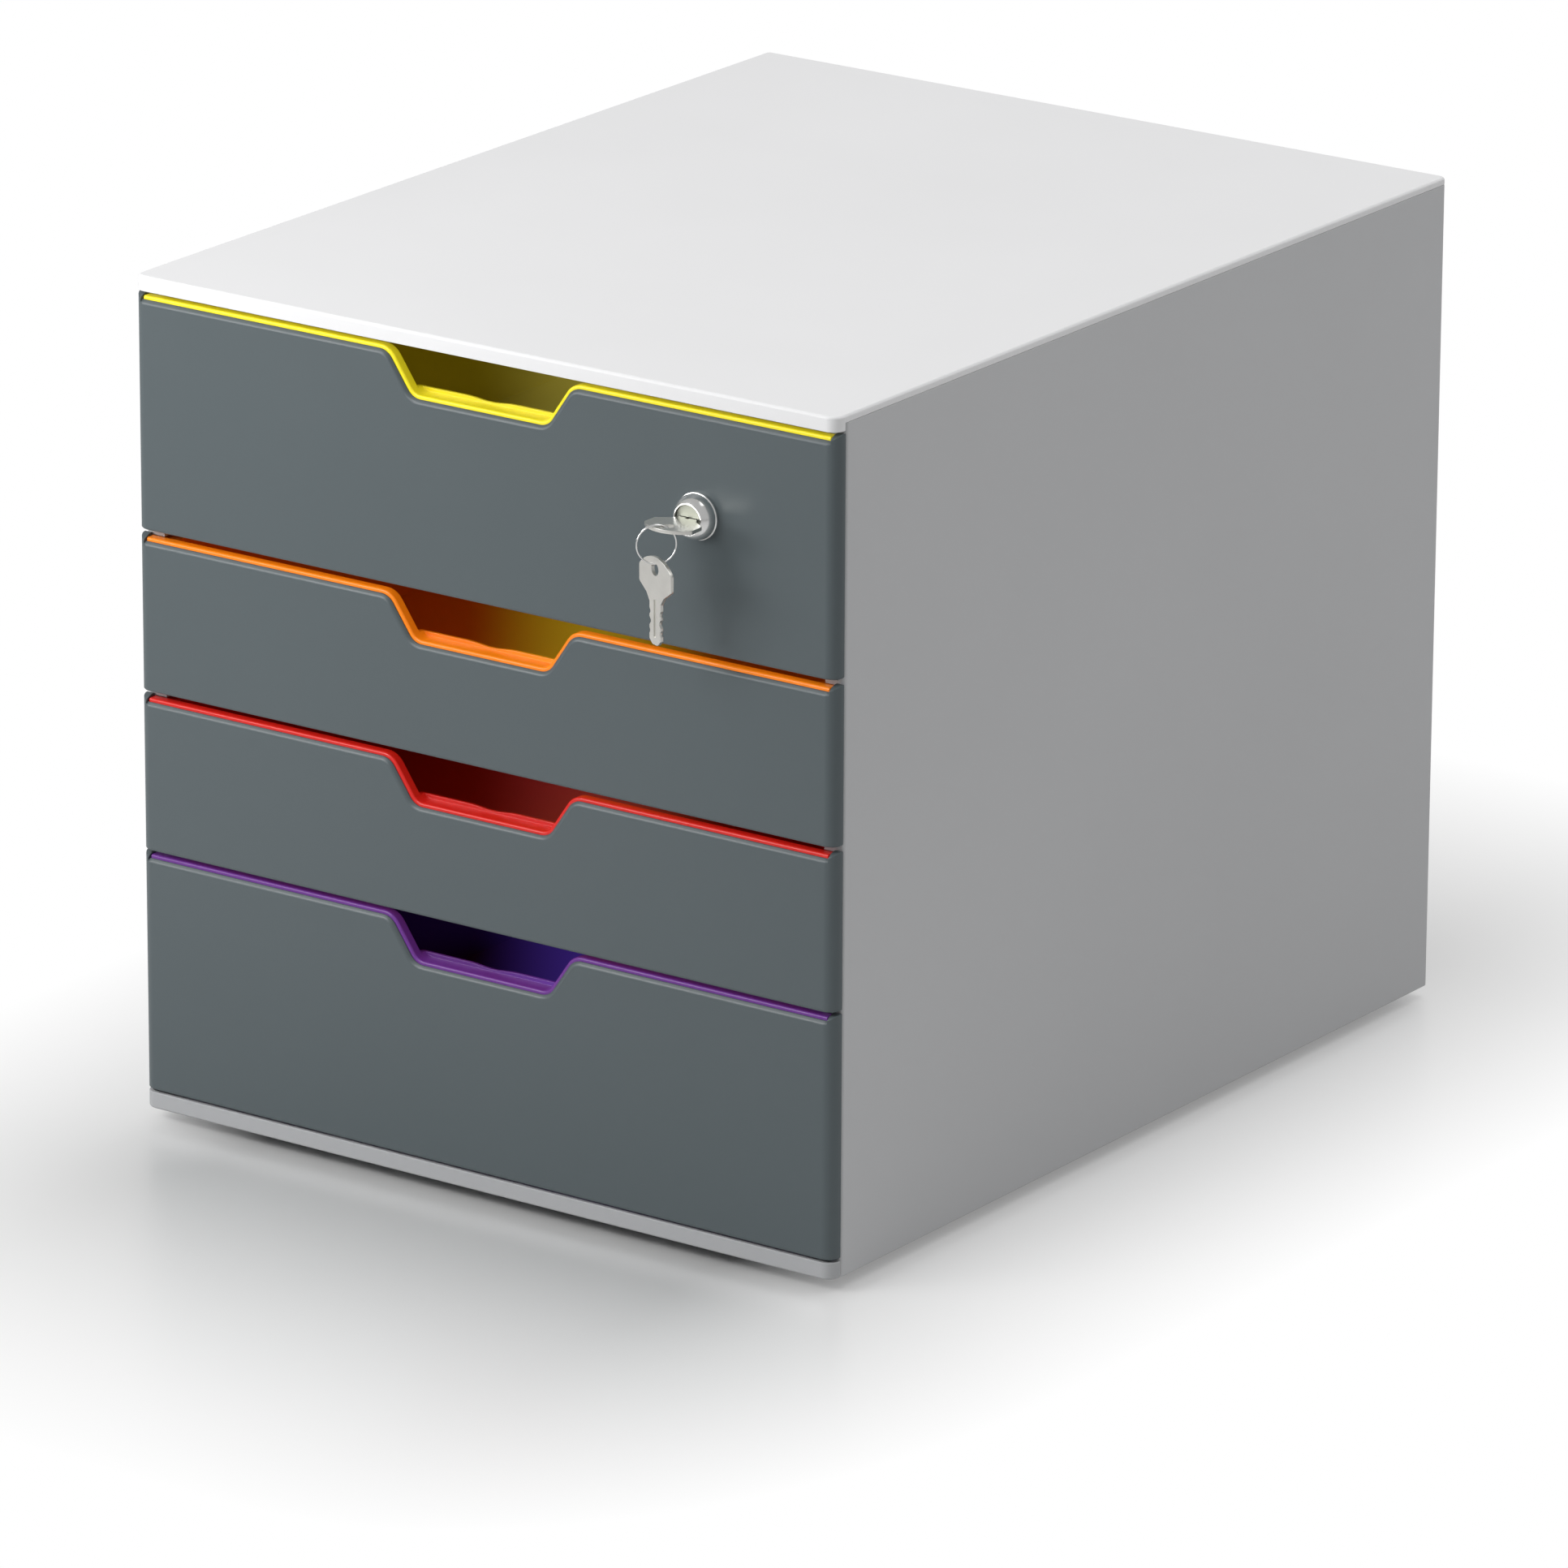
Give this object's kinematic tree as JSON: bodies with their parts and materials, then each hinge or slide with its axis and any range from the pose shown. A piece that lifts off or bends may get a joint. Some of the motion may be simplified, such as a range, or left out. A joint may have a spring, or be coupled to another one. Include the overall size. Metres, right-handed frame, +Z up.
{
  "type": "desktop file drawer",
  "caption": "Desktop drawer box with a pale cover, grey walls and sliding trays in bright colours with finger cut-outs, the top one with a cam lock, key, ring and spare.",
  "frame": {"origin": "centre of the whole bounding box's footprint, on the floor", "axes": "+X to the right seen from the front, +Y from the fronts to the back, +Z up"},
  "size_m": [0.28, 0.3799, 0.292],
  "materials": {
    "cover_white": "fine satin moulding, cool white",
    "wall_grey": "fine satin moulding, light grey",
    "front_grey": "fine satin moulding, slate grey",
    "tray_yellow": "satin moulding, lemon yellow",
    "tray_orange": "satin moulding, orange",
    "tray_red": "satin moulding, red",
    "tray_violet": "satin moulding, violet",
    "foot_rubber": "soft black rubber",
    "lock_chrome": "bright nickel plating over zinc",
    "lock_steel": "bright zinc-plated steel",
    "key_nickel": "nickel-plated brass, tumbled smooth"
  },
  "bodies": {
    "housing": {"top_cover": "cover_white", "base_plate": "wall_grey", "side_wall_left": "wall_grey", "side_wall_right": "wall_grey", "back_wall": "wall_grey", "foot_front_left": "foot_rubber", "foot_front_right": "foot_rubber", "foot_back_left": "foot_rubber", "foot_back_right": "foot_rubber", "lock_strike": "lock_steel"},
    "drawer_1": {"drawer_1_front": "front_grey", "drawer_1_tray": "tray_yellow", "lock_body": "lock_chrome", "lock_nut": "lock_steel"},
    "drawer_2": {"drawer_2_front": "front_grey", "drawer_2_tray": "tray_orange"},
    "drawer_3": {"drawer_3_front": "front_grey", "drawer_3_tray": "tray_red"},
    "drawer_4": {"drawer_4_front": "front_grey", "drawer_4_tray": "tray_violet"},
    "lock_core": {"lock_plug": "lock_chrome", "lock_cam": "lock_steel", "cam_screw": "lock_steel"},
    "key_in_lock": {"key": "key_nickel"},
    "ring": {"key_ring": "lock_chrome"},
    "hanging_key": {"spare_key": "key_nickel"}
  },
  "joints": [
    {"name": "drawer_1_slide", "type": "slide", "parent": "housing", "child": "drawer_1", "axis": [0, -1, 0], "range_m": [0, 0.25]},
    {"name": "drawer_2_slide", "type": "slide", "parent": "housing", "child": "drawer_2", "axis": [0, -1, 0], "range_m": [0, 0.25]},
    {"name": "drawer_3_slide", "type": "slide", "parent": "housing", "child": "drawer_3", "axis": [0, -1, 0], "range_m": [0, 0.25]},
    {"name": "drawer_4_slide", "type": "slide", "parent": "housing", "child": "drawer_4", "axis": [0, -1, 0], "range_m": [0, 0.25]},
    {"name": "lock_turn", "type": "hinge", "parent": "drawer_1", "child": "lock_core", "pos_m": [0.0868, -0.16604, 0.2508], "axis": [0, 1, 0], "range_deg": [0, 90]},
    {"name": "key_pull", "type": "slide", "parent": "lock_core", "child": "key_in_lock", "axis": [0, -1, 0], "range_m": [0, 0.018]},
    {"name": "ring_swing", "type": "hinge", "parent": "key_in_lock", "child": "ring", "pos_m": [0.08427, -0.18497, 0.2514], "axis": [-0.7071, -0.7071, 0], "range_deg": [-15, 15]},
    {"name": "hanging_key_swing", "type": "hinge", "parent": "ring", "child": "hanging_key", "pos_m": [0.08427, -0.18497, 0.23906], "axis": [-0.7071, -0.7071, 0], "range_deg": [-25, 25]}
  ]
}
